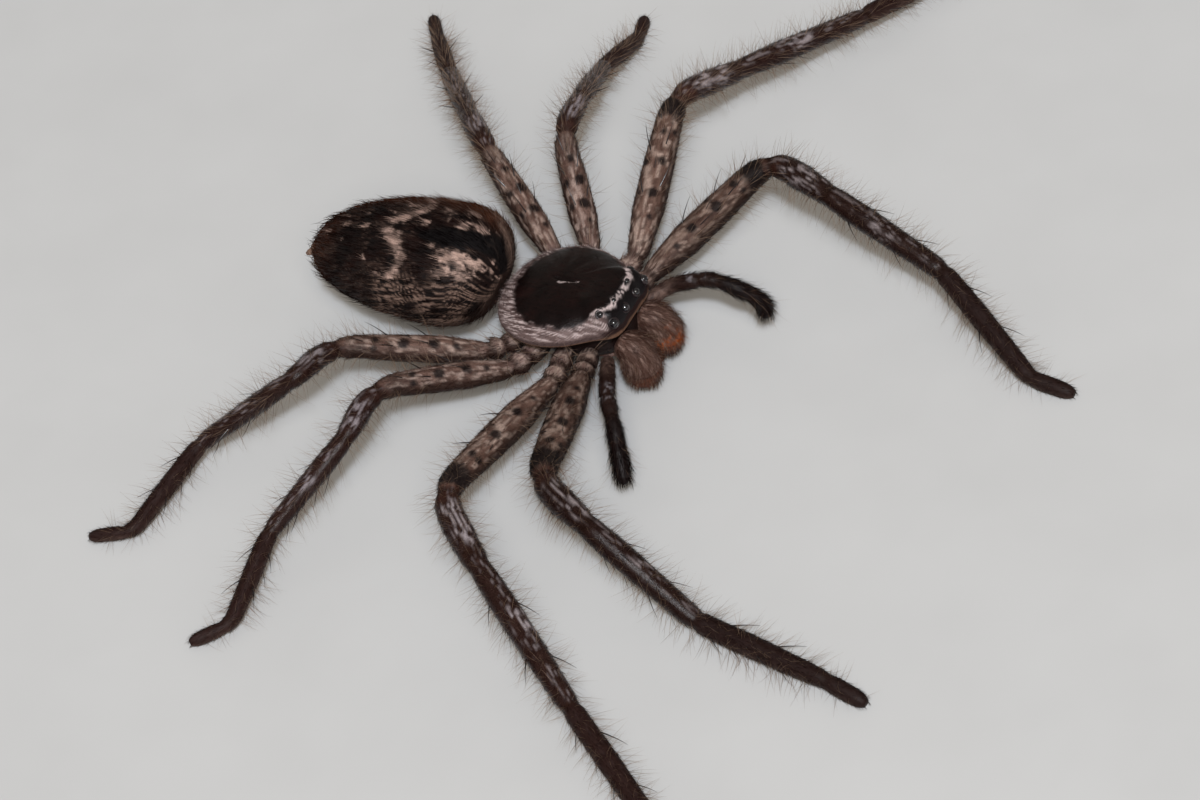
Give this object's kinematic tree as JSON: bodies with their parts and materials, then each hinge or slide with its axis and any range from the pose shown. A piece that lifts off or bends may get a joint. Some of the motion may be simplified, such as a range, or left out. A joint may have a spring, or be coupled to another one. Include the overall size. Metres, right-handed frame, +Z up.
{
  "type": "huntsman spider",
  "caption": "Life-size huntsman spider walking on flat ground: flat dark body with a pale-marked oval abdomen, eight long bent hairy legs, two palps, broad jaws and eight eyes.",
  "frame": {"origin": "On the floor, under the middle of the box around the whole spider", "axes": "+Z up, the head points to -Y, and the spider's own left side is +X; the body lies level and all eight feet stand on Z = 0"},
  "size_m": [0.1182, 0.078, 0.0127],
  "materials": {
    "shell": "near-black brown shell under short pale and dark hair",
    "eyes": "glossy black, wet-looking",
    "fangs": "glossy dark red-brown",
    "underside": "brown skin under short pale hair",
    "abdomen": "soft skin under short hair, dark brown with pale ragged marks",
    "spinnerets": "matt tan-brown",
    "jaws": "grey-brown shell with pale curved hair",
    "palps": "dark brown shell with fine hair",
    "hips": "pinkish brown skin under pale hair",
    "thighs": "grey-pink brown with dark round spots, short hair",
    "shins": "satin dark brown with silvery patches and long fine hair",
    "feet": "red-brown dark, dense short hair"
  },
  "bodies": {
    "root": {"carapace": "shell", "eye_front_inner_left": "eyes", "eye_front_inner_right": "eyes", "eye_front_outer_left": "eyes", "eye_front_outer_right": "eyes", "eye_rear_inner_left": "eyes", "eye_rear_inner_right": "eyes", "eye_rear_outer_left": "eyes", "eye_rear_outer_right": "eyes", "sternum": "underside", "pedicel": "underside", "abdomen": "abdomen", "spinnerets": "spinnerets", "jaw_left": "jaws", "fang_left": "fangs", "palp_left_upper": "palps", "palp_left_tip": "palps", "leg_left_1_coxa": "hips", "leg_left_1_femur": "thighs", "leg_left_1_shin": "shins", "leg_left_1_foot": "feet", "leg_left_2_coxa": "hips", "leg_left_2_femur": "thighs", "leg_left_2_shin": "shins", "leg_left_2_foot": "feet", "leg_left_3_coxa": "hips", "leg_left_3_femur": "thighs", "leg_left_3_shin": "shins", "leg_left_3_foot": "feet", "leg_left_4_coxa": "hips", "leg_left_4_femur": "thighs", "leg_left_4_shin": "shins", "leg_left_4_foot": "feet", "jaw_right": "jaws", "fang_right": "fangs", "palp_right_upper": "palps", "palp_right_tip": "palps", "leg_right_1_coxa": "hips", "leg_right_1_femur": "thighs", "leg_right_1_shin": "shins", "leg_right_1_foot": "feet", "leg_right_2_coxa": "hips", "leg_right_2_femur": "thighs", "leg_right_2_shin": "shins", "leg_right_2_foot": "feet", "leg_right_3_coxa": "hips", "leg_right_3_femur": "thighs", "leg_right_3_shin": "shins", "leg_right_3_foot": "feet", "leg_right_4_coxa": "hips", "leg_right_4_femur": "thighs", "leg_right_4_shin": "shins", "leg_right_4_foot": "feet"}
  },
  "joints": []
}
